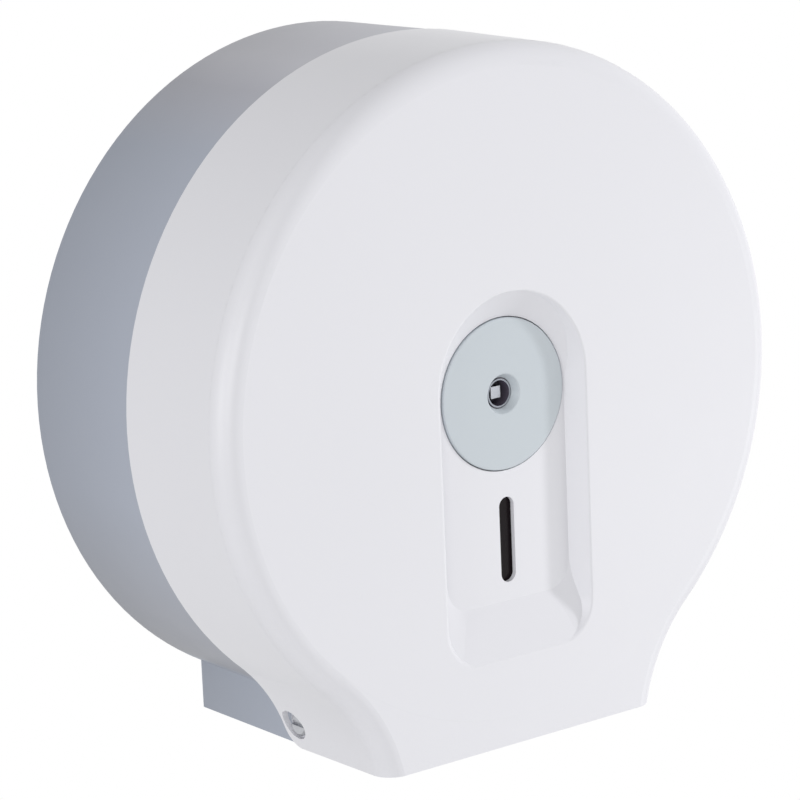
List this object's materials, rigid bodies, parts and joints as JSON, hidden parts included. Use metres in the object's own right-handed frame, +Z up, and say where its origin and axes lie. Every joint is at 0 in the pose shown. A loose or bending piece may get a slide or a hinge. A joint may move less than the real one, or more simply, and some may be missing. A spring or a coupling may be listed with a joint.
{
  "type": "jumbo toilet roll dispenser",
  "caption": "Round wall dispenser for a jumbo toilet roll: a grey drum, a white cover hinged at its foot, a free-turning hub and a quarter-turn key lock in the cover's middle.",
  "frame": {"origin": "on the wall face, on the axis of the round drum", "axes": "+X to the right seen from the front, +Y into the wall, so the face looks along -Y, +Z up"},
  "size_m": [0.27, 0.125, 0.2717],
  "materials": {
    "grey_shell": "semi-gloss moulded, fine spark texture",
    "white_shell": "semi-gloss moulded",
    "disc_plastic": "satin moulded",
    "black_plastic": "matt moulded",
    "window": "clear smoked sheet",
    "post_metal": "cast, light",
    "plate_steel": "zinc plated sheet",
    "screw_steel": "zinc plated",
    "spring_steel": "drawn wire and stamped clip",
    "spindle_plastic": "moulded",
    "hub_plastic": "moulded",
    "nylon": "moulded",
    "felt": "pressed felt"
  },
  "bodies": {
    "housing": {"rear_housing": "grey_shell", "hinge_screws": "screw_steel", "hinge_spacers": "nylon", "spindle": "spindle_plastic", "spindle_screws": "screw_steel", "brake_washer": "felt", "hub_washer": "nylon", "keeper_plate": "plate_steel", "keeper_screws": "screw_steel", "tear_blade": "plate_steel", "blade_screws": "screw_steel"},
    "cover": {"front_cover": "white_shell", "window_lens": "window", "lock_disc": "disc_plastic", "lock_body": "black_plastic", "lock_body_screws": "screw_steel"},
    "lock": {"lock_core": "post_metal", "lock_spring": "spring_steel", "core_circlip": "spring_steel", "lock_tongue": "plate_steel", "tongue_washer": "screw_steel", "tongue_screw": "screw_steel"},
    "hub": {"roll_hub": "hub_plastic"}
  },
  "joints": [
    {"name": "cover_hinge", "type": "hinge", "parent": "housing", "child": "cover", "pos_m": [0, -0.0716, -0.1261], "axis": [1, 0, 0], "range_deg": [0, 90]},
    {"name": "lock_turn", "type": "hinge", "parent": "cover", "child": "lock", "pos_m": [0, -0.11, 0], "axis": [0, 1, 0], "range_deg": [0, 90]},
    {"name": "roll_spin", "type": "hinge", "parent": "housing", "child": "hub", "pos_m": [0, -0.055, 0], "axis": [0, 1, 0], "continuous": true}
  ]
}
